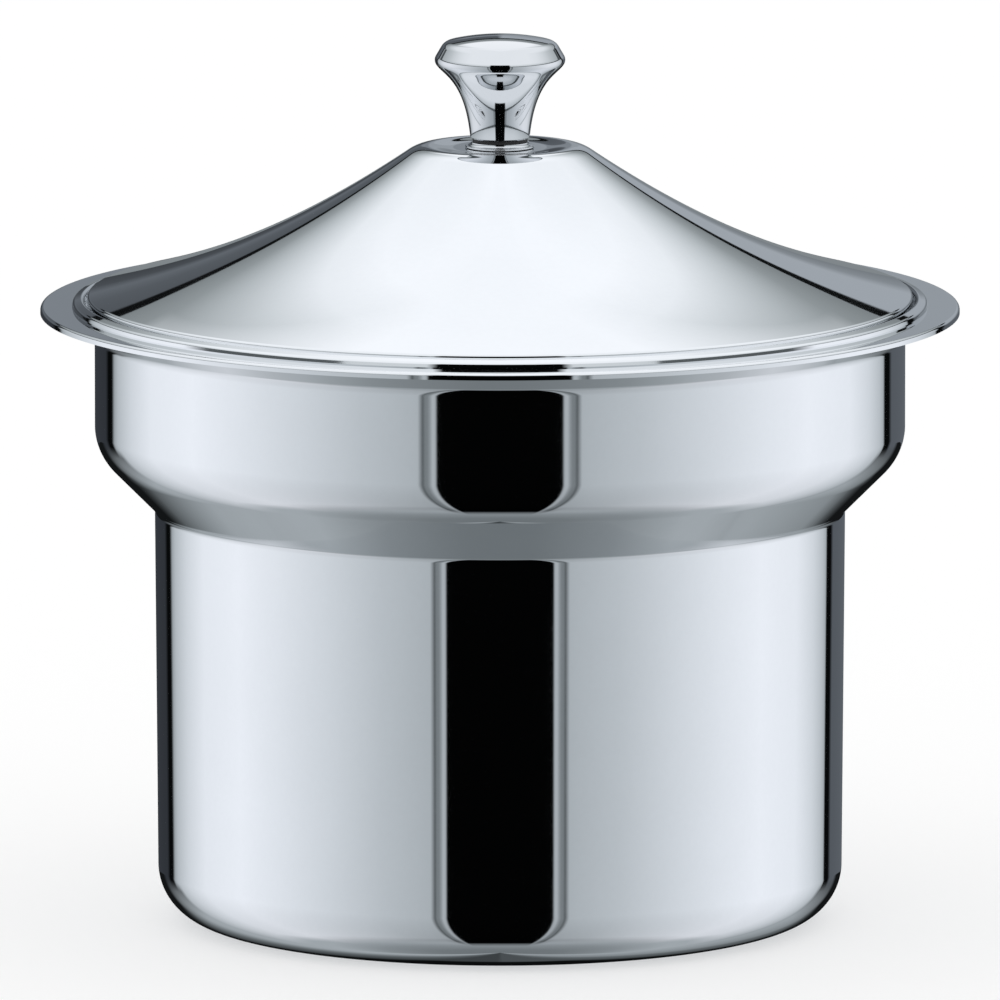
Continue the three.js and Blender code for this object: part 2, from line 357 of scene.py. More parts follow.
def channel_bends(edge):
    """The bends of the lid's channel, from the end of the brim to the foot of the sweep."""
    far_wall = NECK_END - CHANNEL_INSET
    brim_run = edge[-1, 0] - far_wall - CHANNEL_BEND * (1 + math.sin(BRIM_TILT))
    brim_top = edge[-1, 1] + brim_run * math.tan(BRIM_TILT)
    half_width = CHANNEL_WIDTH / 2
    far_centre = (far_wall + CHANNEL_BEND, brim_top - CHANNEL_BEND * math.cos(BRIM_TILT))
    deep_centre = (far_wall - half_width, SHEET + half_width - CHANNEL_DEPTH)
    near_centre = (
        far_wall - CHANNEL_WIDTH - CHANNEL_BEND,
        SWEEP_FOOT_RISE - CHANNEL_BEND * math.cos(SWEEP_FOOT_TILT),
    )
    return [
        arc(far_centre, CHANNEL_BEND, QUARTER - BRIM_TILT, HALF, BEND_STEP),
        arc(deep_centre, half_width, 0, -HALF, BEND_STEP),
        arc(near_centre, CHANNEL_BEND, 0, QUARTER - SWEEP_FOOT_TILT),
    ]


def seat_dip():
    """The soft step from the crest down to the knob's seat."""
    share = np.linspace(1, 0, DIP_STEPS + 1)
    radius = SEAT_RADIUS + SEAT_DIP_RUN * share
    height = CREST_RISE - SEAT_DIP + SEAT_DIP * (1 - np.cos(HALF * share)) / 2
    slope = SEAT_DIP * HALF * np.sin(HALF * share) / (2 * SEAT_DIP_RUN)
    return np.column_stack([radius, height, HALF + np.arctan(slope)])


def lid_shell():
    """The pressed lid: lip, rolled edge, brim, channel, sweep, crest, and the seat round the hole."""
    roll_centre = (
        LID_RADIUS - (LID_LIP - LIP_FOOT) * math.tan(LIP_TILT) - EDGE_ROLL * math.cos(LIP_TILT),
        LID_LIP - EDGE_ROLL * math.sin(LIP_TILT),
    )
    edge = arc(roll_centre, EDGE_ROLL, LIP_TILT, QUARTER - BRIM_TILT, BEND_STEP)
    channel = channel_bends(edge)
    crest_centre = (SEAT_RADIUS + SEAT_DIP_RUN, CREST_RISE - CREST_CORNER)
    crest = arc(crest_centre, CREST_CORNER, QUARTER - SWEEP_TOP_TILT, QUARTER)
    flank = sweep(
        channel[-1][-1, :2], HALF - SWEEP_FOOT_TILT, SWEEP_FOOT_PULL,
        crest[0, :2], HALF - SWEEP_TOP_TILT, SWEEP_TOP_PULL,
    )
    runs = [
        corner(LID_RADIUS, 0),
        corner(LID_RADIUS, LIP_FOOT),
        edge,
        *channel,
        flank,
        crest,
        seat_dip(),
        corner(LOOSE_HOLE, CREST_RISE - SEAT_DIP),
    ]
    outline = sheet_outline(runs, closed=True)
    return turned("lid_pressed_shell", outline, SHEET_SIDES, POT_HEIGHT, closed=True)


def knob():
    """The mushroom knob: neck, nose, tilted side and shallow dome, with the screw's blind hole."""
    hole_top = LOCK_WASHER_FLOOR + SCREW_LENGTH + KNOB_HOLE_SPARE - KNOB_FLOOR
    top_x = KNOB_RADIUS - KNOB_SHOULDER
    dome_tilt = math.asin(top_x / (KNOB_DOME - KNOB_TOP_CORNER))
    dome_centre = KNOB_HEIGHT - KNOB_DOME
    top_z = dome_centre + (KNOB_DOME - KNOB_TOP_CORNER) * math.cos(dome_tilt)
    nose_centre = (KNOB_RADIUS - KNOB_NOSE, KNOB_HEIGHT - KNOB_NOSE_DROP)
    nose = arc(nose_centre, KNOB_NOSE, -KNOB_UNDER_TILT, KNOB_SIDE_TILT)
    neck = sweep(
        (NECK_RADIUS, NECK_CHAMFER), QUARTER - NECK_FLARE, NECK_PULL,
        nose[0, :2], QUARTER - KNOB_UNDER_TILT, KNOB_UNDER_PULL,
    )
    runs = [
        corner(0, hole_top),
        corner(LOOSE_HOLE, hole_top),
        corner(LOOSE_HOLE, 0),
        corner(NECK_RADIUS - NECK_CHAMFER, 0),
        neck,
        nose,
        arc((top_x, top_z), KNOB_TOP_CORNER, KNOB_SIDE_TILT, QUARTER - dome_tilt),
        arc((0, dome_centre), KNOB_DOME, QUARTER - dome_tilt, QUARTER, dome_tilt / DOME_STEPS),
    ]
    return turned("knob_mushroom", joined(runs), KNOB_SIDES, KNOB_FLOOR)


def knob_foot():
    """The bell-shaped ring between the spacer and the crown."""
    flare = FOOT_HEIGHT - FOOT_EDGE
    edge_x = FOOT_RADIUS - FOOT_ROUND
    runs = [
        corner(LOOSE_HOLE, 0),
        corner(edge_x, 0),
        arc((edge_x, FOOT_ROUND), FOOT_ROUND, -QUARTER, 0, EDGE_STEP),
        arc((edge_x, FOOT_EDGE - FOOT_ROUND), FOOT_ROUND, 0, QUARTER, EDGE_STEP),
        arc((NECK_RADIUS - FOOT_TOP_INSET + flare, FOOT_HEIGHT), flare, -QUARTER, -HALF),
        corner(LOOSE_HOLE, FOOT_HEIGHT),
    ]
    return turned("knob_foot_ring", joined(runs, closed=True), KNOB_SIDES, FOOT_FLOOR, closed=True)


def flat_ring(name, outer, base, thick, edge, sides):
    """A flat ring round the screw, with small rounded outer edges."""
    runs = [
        corner(LOOSE_HOLE, 0),
        arc((outer - edge, edge), edge, -QUARTER, 0, EDGE_STEP),
        arc((outer - edge, thick - edge), edge, 0, QUARTER, EDGE_STEP),
        corner(LOOSE_HOLE, thick),
    ]
    return turned(name, joined(runs, closed=True), sides, base, closed=True)


def knob_spacer():
    outer = NECK_RADIUS - SPACER_INSET
    return flat_ring("knob_spacer_ring", outer, SPACER_FLOOR, SPACER_THICK, SPACER_EDGE, KNOB_SIDES)


def foot_seal():
    outer = FOOT_RADIUS - SEAL_INSET
    return flat_ring("foot_seal_ring", outer, SEAT_TOP, SEAL_THICK, SEAL_EDGE, KNOB_SIDES)


def plain_washer():
    return flat_ring(
        "plain_washer_stamped",
        PLAIN_WASHER_RADIUS,
        PLAIN_WASHER_FLOOR,
        PLAIN_WASHER_THICK,
        PLAIN_WASHER_EDGE,
        SMALL_SIDES,
    )


def lock_washer():
    """A spring washer: a square-edged ring with one slanting split."""
    inner, outer = LOOSE_HOLE, LOCK_WASHER_RADIUS
    thick, edge = LOCK_WASHER_THICK, LOCK_WASHER_EDGE
    section = [
        (inner, edge),
        (inner + edge, 0),
        (outer - edge, 0),
        (outer, edge),
        (outer, thick - edge),
        (outer - edge, thick),
        (inner + edge, thick),
        (inner, thick - edge),
    ]
    verts, faces = [], []
    for i in range(LOCK_WASHER_STEPS + 1):
        turn = LOCK_WASHER_GAP + i / LOCK_WASHER_STEPS * (FULL - 2 * LOCK_WASHER_GAP)
        for x, z in section:
            a = turn + LOCK_WASHER_SLANT * (z / thick - 0.5)
            verts.append((x * math.cos(a) * MM, x * math.sin(a) * MM, (LOCK_WASHER_FLOOR + z) * MM))
    n = len(section)
    for i in range(LOCK_WASHER_STEPS):
        for j in range(n):
            k = (j + 1) % n
            faces.append((i * n + j, i * n + k, (i + 1) * n + k, (i + 1) * n + j))
    faces.append(tuple(reversed(range(n))))
    faces.append(tuple(range(LOCK_WASHER_STEPS * n, (LOCK_WASHER_STEPS + 1) * n)))
    obj = new_object("lock_washer_split", verts, faces)
    obj.data.validate()
    return obj


def slot_cutter():
    """The block that cuts the driver slot across the screw's head."""
    reach = HEAD_RADIUS + SLOT_OVERRUN
    half_width = SLOT_WIDTH / 2
    head_foot = LOCK_WASHER_FLOOR - HEAD_HEIGHT
    heights = (head_foot - SLOT_CUT_BELOW, head_foot + SLOT_DEPTH)
    corners = [(x, y, z) for x in (-reach, reach) for y in (-half_width, half_width) for z in heights]
    sides = [(0, 1, 3, 2), (4, 6, 7, 5), (0, 4, 5, 1), (2, 3, 7, 6), (0, 2, 6, 4), (1, 5, 7, 3)]
    return new_object("slot_cutter", [tuple(c * MM for c in p) for p in corners], sides)


def knob_screw():
    """The screw that comes up from inside the lid, turned, with the driver slot cut across its head."""
    head_centre = (HEAD_RADIUS - HEAD_CORNER, HEAD_CORNER - HEAD_HEIGHT)
    runs = [
        corner(0, -HEAD_HEIGHT),
        arc(head_centre, HEAD_CORNER, -QUARTER, 0, HEAD_STEP),
        corner(HEAD_RADIUS, 0),
        corner(SCREW_RADIUS, 0),
        corner(SCREW_RADIUS, SCREW_LENGTH - SCREW_CHAMFER),
        corner(SCREW_RADIUS - SCREW_CHAMFER, SCREW_LENGTH),
        corner(0, SCREW_LENGTH),
    ]
    screw = turned("knob_screw_turned", joined(runs), SMALL_SIDES, LOCK_WASHER_FLOOR)
    cutter = slot_cutter()
    cut = screw.modifiers.new("slot", "BOOLEAN")
    cut.operation = "DIFFERENCE"
    cut.object = cutter
    cut.solver = "EXACT"
    bpy.context.view_layer.update()
    result = bpy.data.meshes.new_from_object(screw.evaluated_get(bpy.context.evaluated_depsgraph_get()))
    screw.modifiers.clear()
    screw.data = result
    bpy.data.objects.remove(cutter)
    return screw


# The middle of a noise's range, over which a material's roughness and colour change
NOISE_MIDDLE = (0.3, 0.7)

# The polished steel: its roughness, how much darker its colour gets, the haze's share of its pattern, how
# deep the sheet's wave and the buffing lines are, and the lines' scale
POLISHED_ROUGHNESS = (0.015, 0.045)
POLISHED_SHADE = 0.965
HAZE_SHARE = 0.65
WAVE_DEPTH = 0.00006
BUFFING_DEPTH = 0.0000006
SHEET_BUFFING = 2200.0
KNOB_BUFFING = 5200.0
KNOB_WAVE = 0.15

# The fastening's duller steel, and the rubber
DULL_ROUGHNESS = (0.22, 0.38)
DULL_SHADE = 0.8
TOOL_MARK_DEPTH = 0.000006
RUBBER_ROUGHNESS = (0.45, 0.65)
RUBBER_COLOURS = ((0.009, 0.009, 0.010), (0.018, 0.018, 0.020))
RUBBER_GRAIN_DEPTH = 0.00002


# The materials
class Tree:
    """A node tree, with a short call for each kind of node that is used more than once."""

    def __init__(self, node_tree):
        self.nodes = node_tree.nodes
        self.links = node_tree.links

    def feed(self, socket, value):
        """Links or sets an input."""
        if isinstance(value, bpy.types.NodeSocket):
            self.links.new(value, socket)
        else:
            socket.default_value = value

    def node(self, kind, inputs=None, **settings):
        """Adds a node, with its plain settings and its inputs."""
        made = self.nodes.new(kind)
        for key, value in settings.items():
            setattr(made, key, value)
        for key, value in (inputs or {}).items():
            self.feed(made.inputs[key], value)
        return made

    def math(self, operation, *values, clamp=False):
        inputs = dict(enumerate(values))
        return self.node("ShaderNodeMath", inputs, operation=operation, use_clamp=clamp).outputs[0]

    def times(self, first, second):
        return self.math("MULTIPLY", first, second)

    def plus(self, first, second):
        return self.math("ADD", first, second)

    def opposite(self, share):
        """1 where the share is 0, and 0 where it is 1."""
        return self.math("SUBTRACT", 1.0, share)

    def stretched(self, value, low, high, to_low=0.0, to_high=1.0):
        """The value, with its range from low to high stretched to another one and held at its ends."""
        inputs = {"Value": value, "From Min": low, "From Max": high, "To Min": to_low, "To Max": to_high}
        return self.node("ShaderNodeMapRange", inputs).outputs[0]

    def mixed(self, share, first, second, blend="MIX"):
        inputs = {0: share, 6: first, 7: second}
        return self.node("ShaderNodeMix", inputs, data_type="RGBA", blend_type=blend).outputs[2]

    def ramp(self, factor, stops):
        """A colour ramp from a list of place and colour, in rising order."""
        made = self.node("ShaderNodeValToRGB", {"Fac": factor})
        elements = made.color_ramp.elements
        while len(elements) < len(stops):
            elements.new(0.5)
        for element, (place, colour) in zip(elements, stops):
            element.position = place
            element.color = (*colour, 1)
        return made.outputs["Color"]

    def place(self):
        return self.node("ShaderNodeTexCoord").outputs["Object"]

    def parts(self, vector):
        return self.node("ShaderNodeSeparateXYZ", {0: vector}).outputs

    def turning(self, place):
        """Distance from the Z axis and height, which stay the same all the way round."""
        x, y, z = self.parts(place)
        out = self.math("SQRT", self.plus(self.times(x, x), self.times(y, y)))
        return self.node("ShaderNodeCombineXYZ", {0: out, 1: z}).outputs[0]

    def noise(self, place, scale, detail, roughness=0.5):
        inputs = {"Vector": place, "Scale": scale, "Detail": detail, "Roughness": roughness}
        return self.node("ShaderNodeTexNoise", inputs).outputs["Fac"]

    def bump(self, height, strength, distance, over=None):
        """Bumps of a height, on top of other bumps where those are given."""
        inputs = {"Strength": strength, "Distance": distance, "Height": height}
        if over is not None:
            inputs["Normal"] = over
        return self.node("ShaderNodeBump", inputs).outputs[0]

    def cover(self, pattern, roughness, colours, bumps, metallic=0):
        """Gives the surface a roughness and a colour that follow a pattern, and bumps."""
        surface = self.nodes["Principled BSDF"].inputs
        surface["Metallic"].default_value = metallic
        self.feed(surface["Roughness"], self.stretched(pattern, *NOISE_MIDDLE, *roughness))
        self.feed(surface["Base Color"], self.ramp(pattern, list(zip(NOISE_MIDDLE, colours))))
        self.feed(surface["Normal"], bumps)

    def glow(self, colour, strength=1.0):
        return self.node("ShaderNodeEmission", {"Color": colour, "Strength": strength}).outputs[0]

    def show(self, shader, output="Material Output"):
        self.links.new(shader, self.nodes[output].inputs["Surface"])

    def shown_background(self):
        """1 for the rays that show the background: camera, glossy and transmission rays."""
        path = self.node("ShaderNodeLightPath").outputs
        both = self.plus(path["Is Camera Ray"], path["Is Glossy Ray"])
        return self.math("ADD", both, path["Is Transmission Ray"], clamp=True)


def new_material(name, tree_kind=Tree):
    material = bpy.data.materials.new(name)
    material.use_nodes = True
    return material, tree_kind(material.node_tree)


def shaded(tint, shade):
    """A tint's darker colour and the tint itself."""
    return tuple(c * shade for c in tint), tint


def steel(name, tint, buffing=SHEET_BUFFING, wave=1.0):
    """Polished stainless steel: buffing lines round the axis, a slight wave of the drawn sheet and faint
    haze."""
    material, tree = new_material(name)
    place = tree.place()
    lines = tree.noise(tree.turning(place), buffing, detail=3.0, roughness=0.6)
    haze = tree.noise(place, scale=26.0, detail=5.0, roughness=0.55)
    grain = tree.noise(place, scale=420.0, detail=4.0, roughness=0.6)
    broad = tree.noise(place, scale=9.0, detail=1.0, roughness=0.4)
    pattern = tree.plus(tree.times(haze, HAZE_SHARE), tree.times(grain, 1 - HAZE_SHARE))
    waves = tree.bump(broad, strength=1.0, distance=WAVE_DEPTH * wave)
    bumps = tree.bump(lines, strength=0.25, distance=BUFFING_DEPTH, over=waves)
    tree.cover(pattern, POLISHED_ROUGHNESS, shaded(tint, POLISHED_SHADE), bumps, metallic=1)
    return material


def dull_steel(name, tint):
    """The turned and stamped steel of the fastening, duller and with clear tool marks."""
    material, tree = new_material(name)
    place = tree.place()
    tool_marks = tree.noise(tree.turning(place), scale=3800.0, detail=2.0)
    patches = tree.noise(place, scale=350.0, detail=4.0)
    bumps = tree.bump(tool_marks, strength=0.5, distance=TOOL_MARK_DEPTH)
    tree.cover(patches, DULL_ROUGHNESS, shaded(tint, DULL_SHADE), bumps, metallic=1)
    return material


def rubber(name):
    """Matt black silicone with a fine grain."""
    material, tree = new_material(name)
    grain = tree.noise(tree.place(), scale=1800.0, detail=5.0)
    bumps = tree.bump(grain, strength=0.4, distance=RUBBER_GRAIN_DEPTH)
    tree.cover(grain, RUBBER_ROUGHNESS, RUBBER_COLOURS, bumps)
    return material


pot_steel = steel("pot_polished_steel", (0.85, 0.865, 0.88))
lid_steel = steel("lid_polished_steel", (0.86, 0.875, 0.89))
knob_steel = steel("knob_polished_steel", (0.76, 0.775, 0.79), KNOB_BUFFING, KNOB_WAVE)
fastener_steel = dull_steel("plain_steel", (0.60, 0.61, 0.62))
black_rubber = rubber("black_silicone_rubber")


def dress(obj, body, material, node_replaced):
    """Gives a piece its material, hangs it on its body, and hides the CAD node that it stands in for."""
    obj.data.materials.clear()
    obj.data.materials.append(material)
    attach(obj, body)
    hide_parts(node_replaced)


dress(pot_shell(), "pot", pot_steel, "pot_shell")
dress(lid_shell(), "lid", lid_steel, "lid_shell")
dress(knob(), "lid", knob_steel, "knob")
dress(knob_foot(), "lid", knob_steel, "knob_foot")
dress(knob_spacer(), "lid", black_rubber, "knob_spacer")
dress(foot_seal(), "lid", black_rubber, "foot_seal")
dress(plain_washer(), "lid", fastener_steel, "plain_washer")
dress(lock_washer(), "lid", fastener_steel, "lock_washer")
dress(knob_screw(), "lid", fastener_steel, "knob_screw")


# The studio is a large ball that only reflections see, shaded by direction from its middle. Side angles run
# from straight in front of the object, 0, to straight behind it, 180, and heights from level. A pair of
# angles is where a form begins and where it is full. A tone is a linear value, with its own blue if given.
TENT_RADIUS = 20.0
TENT_ROWS = 24
TENT_SIDES = 48
MIDDLE_BLUR = 0.004
BLUE = 1.06
DARK_RED = 0.88
RED_GAIN = 0.09
ALL_HEIGHTS = (-90, 90)

# The side boxes, by side angle: the dark slit between them in front with their pale frames, the boxes
# themselves, and the gap at their back edge with what shows past it. All of it dims towards the floor.
SLIT_TONES = [
    (0, 0.001), (17.8, 0.001), (18.3, 0.50), (19.3, 0.50), (19.9, 0.25), (21.4, 0.22), (21.8, 0.12),
    (22.2, 0.12), (22.8, 0.50),
]
BOX_TONES = [(40, 0.60), (60, 0.76), (80, 0.90), (98, 1.0), (118, 0.94), (130, 0.76)]
LEFT_GAP_TONES = [
    (140, 0.55), (143, 0.40), (145, 0.003), (149, 0.003), (152, 0.037, 1.2), (180, 0.043, 1.2),
]
RIGHT_GAP_TONES = [
    (138, 0.58), (141, 0.45), (142, 0.003), (146.5, 0.003), (149, 0.11, 1.15), (180, 0.13, 1.15),
]
BOX_SHARES = [(-90, 0.0), (-60, 0.55), (-52, 0.78), (-20, 0.94), (-9, 1.0)]

# Painted shade on the floor under the object, its edge lower at the slit and higher from the boxes' middle
# back
FLOOR_SHADE_TONES = [(-90, 0.19), (-80, 0.21), (-70, 0.29), (-60, 0.44)]
FLOOR_SHADE_EDGE = -60.0
FLOOR_SHADE_EDGE_BLUR = 4.0
FLOOR_SHADE_SLIT = (18, 27)
FLOOR_SHADE_SLIT_DROP = 7.0
FLOOR_SHADE_BACK = (95, 118)
FLOOR_SHADE_BACK_RISE = 8.0

# The room behind the object, with a small lighter panel straight behind and a grey strip below the level
ROOM_HEIGHTS = (0, 17)
LEFT_ROOM_TONES = [(0, 0.055), (5, 0.078), (8, 0.145), (12, 0.113), (17, 0.10)]
RIGHT_ROOM_TONES = [(0, 0.20), (5, 0.27), (8, 0.40), (17, 0.41)]
LEFT_ROOM_BLUE = 1.14
RIGHT_ROOM_BLUE = 1.10
ROOM = {"side": (147, 149), "foot": (-0.5, 0.5)}
PANEL = {"side": (176.5, 177.5), "foot": (6.5, 7.5), "top": 10.5}
LEFT_PANEL_TONE = (0.24, 1.12)
RIGHT_PANEL_TONE = (0.34, 1.10)
STRIP = {"side": (171, 174), "foot": (-6.5, -5.5), "top": 0.5}
STRIP_TONE = 0.25

# The table behind, in painted shade: grey, with a painted black shadow in its middle and along its top
TABLE_SIDE = (138, 142)
TABLE_TOP = (-16, -11)
# Greys of the table, darker with painted shade towards straight behind
LEFT_TABLE_SHADE_TONES = [(144, 0.43), (149, 0.40), (153, 0.31), (158, 0.195), (163, 0.12), (170, 0.06)]
RIGHT_TABLE_SHADE_TONES = [(144, 0.40), (149, 0.36), (158, 0.28), (163, 0.15), (170, 0.09)]
TABLE_HEIGHTS = (-60, -12)
# Shares that darken the table towards its top with painted shade
TABLE_SHADE_SHARES = [(-60, 1.0), (-30, 1.0), (-20, 0.6), (-12, 0.2)]
# The painted black shadow of the object in the table's middle
TABLE_CONTACT_SHADOW = {"side": (169, 173), "foot": (-56, -50), "top": -10}
TABLE_CONTACT_SHADOW_TONE = 0.004
# Painted black shade along the table's top, which draws the dark outline of every piece that leans out
TABLE_EDGE_SHADE = {"side": (155, 160), "foot": (-26, -20), "top": -10.3}
TABLE_EDGE_SHADE_TONE = 0.008

# The roof in front, at the sides and at the back, by height, with a white box straight behind and the dark
# slit's upper end in front
ROOF_FOOT = (18.3, 18.7)
ROOF_HEIGHTS = (18, 50)
ROOF_BLUE = 1.04
FRONT_ROOF_TONES = [(18, 0.70), (30, 0.86), (45, 1.02)]
SIDE_ROOF_TONES = [(18, 0.50), (28, 0.64), (34, 0.80), (40, 0.95), (50, 1.02)]
BACK_ROOF_TONES = [(18, 0.24), (23, 0.34), (28, 0.54), (34, 0.76), (40, 0.97), (50, 1.09)]
ROOF_SIDE = (60, 130)
ROOF_BACK = (140, 165)
BACK_BOX = {"side": (171, 175), "foot": (22, 23.5)}
BACK_BOX_TONE = 1.08
SLIT_EDGE = (17, 20)
SLIT_TOP = (38, 42)
SLIT_TONE = 0.002

# The seam between the side boxes and the roof, wide as far as the boxes reach and thin behind them
SEAM_TOP = 18.5
WIDE_SEAM_FOOT = (11.5, 13)
WIDE_SEAM_END = (139, 143)
WIDE_SEAM_TONE = 0.11
THIN_SEAM = {"side": (141, 147), "foot": (16.4, 16.8)}
THIN_SEAM_TONE = 0.006
SEAM_TONE_CHANGE = (135, 145)


def grey(value, blue=BLUE):
    """A grey of the studio, with less red where it is dark."""
    return (value * (DARK_RED + RED_GAIN * value), value, value * blue)


def flat(value, blue=BLUE):
    """A grey as the plain colour of an input."""
    return (*grey(value, blue), 1)


class TentShade(Tree):
    """The tent's node tree, which knows the direction of each point seen from the tent's middle."""

    def __init__(self, node_tree):
        super().__init__(node_tree)
        way = self.node("ShaderNodeVectorMath", {0: self.place()}, operation="NORMALIZE").outputs[0]
        x, y, z = self.parts(way)
        # The camera stands at -Y of the object
        side = self.math("ABSOLUTE", self.math("ARCTAN2", x, self.times(y, -1.0)))
        self.side_share = self.math("DIVIDE", side, HALF)
        self.height = self.times(self.math("ARCSINE", z), 180 / HALF)
        self.right = self.stretched(x, -MIDDLE_BLUR, MIDDLE_BLUR)

    def above(self, low, high):
        """0 below the height low, 1 above the height high."""
        return self.stretched(self.height, low, high)

    def below(self, edge):
        """1 below the height edge, 0 above it."""
        return self.math("LESS_THAN", self.height, edge)

    def behind(self, low, high):
        """0 in front of the side angle low, 1 behind the side angle high."""
        return self.stretched(self.side_share, low / 180, high / 180)

    def patch(self, side, foot, top=None):
        """1 behind a side angle and above a foot, and below a top where one is given."""
        share = self.times(self.behind(*side), self.above(*foot))
        return share if top is None else self.times(share, self.below(top))

    def sides(self, left, right):
        return self.mixed(self.right, left, right)

    def by_side(self, tones):
        """Greys by side angle."""
        return self.ramp(self.side_share, [(angle / 180, grey(*tone)) for angle, *tone in tones])

    def height_ramp(self, heights, stops):
        """A ramp over a range of heights, from stops of height and colour."""
        low, high = heights
        return self.ramp(self.above(low, high), [((h - low) / (high - low), colour) for h, colour in stops])

    def by_height(self, heights, tones, blue=BLUE):
        """Greys by height."""
        return self.height_ramp(heights, [(h, grey(value, blue)) for h, value in tones])

    def dimmed(self, colour, heights, shares):
        """A colour times a share that changes with the height."""
        dimmer = self.height_ramp(heights, [(h, (share, share, share)) for h, share in shares])
        return self.mixed(1.0, colour, dimmer, "MULTIPLY")


def side_boxes(shade):
    """The softboxes on both sides."""
    left = shade.by_side(SLIT_TONES + BOX_TONES + LEFT_GAP_TONES)
    right = shade.by_side(SLIT_TONES + BOX_TONES + RIGHT_GAP_TONES)
    return shade.dimmed(shade.sides(left, right), ALL_HEIGHTS, BOX_SHARES)


def with_floor_shade(shade, colour):
    """Adds the painted shade of the floor under the object, darkest straight down."""
    # The painted shade, by height
    sheet = shade.by_height(ALL_HEIGHTS, FLOOR_SHADE_TONES)
    drop = shade.times(shade.opposite(shade.behind(*FLOOR_SHADE_SLIT)), -FLOOR_SHADE_SLIT_DROP)
    rise = shade.times(shade.behind(*FLOOR_SHADE_BACK), FLOOR_SHADE_BACK_RISE)
    edge = shade.plus(shade.plus(drop, rise), FLOOR_SHADE_EDGE)
    over_edge = shade.math("SUBTRACT", shade.height, edge)
    return shade.mixed(shade.stretched(over_edge, -FLOOR_SHADE_EDGE_BLUR, FLOOR_SHADE_EDGE_BLUR), sheet, colour)


def with_room(shade, colour):
    """Adds the room that shows above the level between the boxes, and the strip below it. The level flange
    shows the panel."""
    left = shade.by_height(ROOM_HEIGHTS, LEFT_ROOM_TONES, LEFT_ROOM_BLUE)
    right = shade.by_height(ROOM_HEIGHTS, RIGHT_ROOM_TONES, RIGHT_ROOM_BLUE)
    panel = shade.sides(flat(*LEFT_PANEL_TONE), flat(*RIGHT_PANEL_TONE))
    room = shade.mixed(shade.patch(**PANEL), shade.sides(left, right), panel)
    colour = shade.mixed(shade.patch(**ROOM), colour, room)
    return shade.mixed(shade.patch(**STRIP), colour, flat(STRIP_TONE))


def with_table(shade, colour):
    """Adds the table, grey at its sides and darker towards its middle and its top with painted shade.
    Painted black shade along its top draws the dark outline of every piece that leans out."""
    tones = shade.sides(shade.by_side(LEFT_TABLE_SHADE_TONES), shade.by_side(RIGHT_TABLE_SHADE_TONES))
    table = shade.dimmed(tones, TABLE_HEIGHTS, TABLE_SHADE_SHARES)
    on_table = shade.times(shade.behind(*TABLE_SIDE), shade.opposite(shade.above(*TABLE_TOP)))
    colour = shade.mixed(on_table, colour, table)
    # The painted black shadow of the object in the table's middle
    colour = shade.mixed(shade.patch(**TABLE_CONTACT_SHADOW), colour, flat(TABLE_CONTACT_SHADOW_TONE))
    # Painted black shade along the table's top
    return shade.mixed(shade.patch(**TABLE_EDGE_SHADE), colour, flat(TABLE_EDGE_SHADE_TONE))


def roof(shade):
    """The light overhead, which brightens upwards to white."""
    front, side, back = (
        shade.by_height(ROOF_HEIGHTS, tones, ROOF_BLUE)
        for tones in (FRONT_ROOF_TONES, SIDE_ROOF_TONES, BACK_ROOF_TONES)
    )
    colour = shade.mixed(shade.behind(*ROOF_BACK), side, back)
    colour = shade.mixed(shade.behind(*ROOF_SIDE), front, colour)
    colour = shade.mixed(shade.patch(**BACK_BOX), colour, flat(BACK_BOX_TONE, ROOF_BLUE))
    in_slit = shade.opposite(shade.behind(*SLIT_EDGE))
    slit_end = shade.times(in_slit, shade.opposite(shade.above(*SLIT_TOP)))
    return shade.mixed(slit_end, colour, flat(SLIT_TONE))


def with_seam(shade, colour):
    """Adds the seam between the side boxes and the roof, black over the slit."""
    wide = shade.times(shade.above(*WIDE_SEAM_FOOT), shade.opposite(shade.behind(*WIDE_SEAM_END)))
    seam = shade.times(shade.math("MAXIMUM", shade.patch(**THIN_SEAM), wide), shade.below(SEAM_TOP))
    tone = shade.mixed(shade.behind(*SEAM_TONE_CHANGE), flat(WIDE_SEAM_TONE), flat(THIN_SEAM_TONE))
    tone = shade.mixed(shade.behind(*SLIT_EDGE), flat(SLIT_TONE), tone)
    return shade.mixed(seam, colour, tone)


def glowing_material(name, tree_kind=Tree):
    """A material without the usual shader, for a surface that glows. It isn't sampled as a lamp."""
    material, tree = new_material(name, tree_kind)
    tree.nodes.remove(tree.nodes["Principled BSDF"])
    material.cycles.emission_sampling = "NONE"
    return material, tree


def tent_material():
    """Softboxes at the sides and overhead, their gaps, the room and table at the back, and painted shade
    below.
    """
    material, shade = glowing_material("tent_light", TentShade)
    colour = with_floor_shade(shade, side_boxes(shade))
    colour = with_table(shade, with_room(shade, colour))
    colour = shade.mixed(shade.above(*ROOF_FOOT), colour, roof(shade))
    shade.show(shade.glow(with_seam(shade, colour)))
    return material


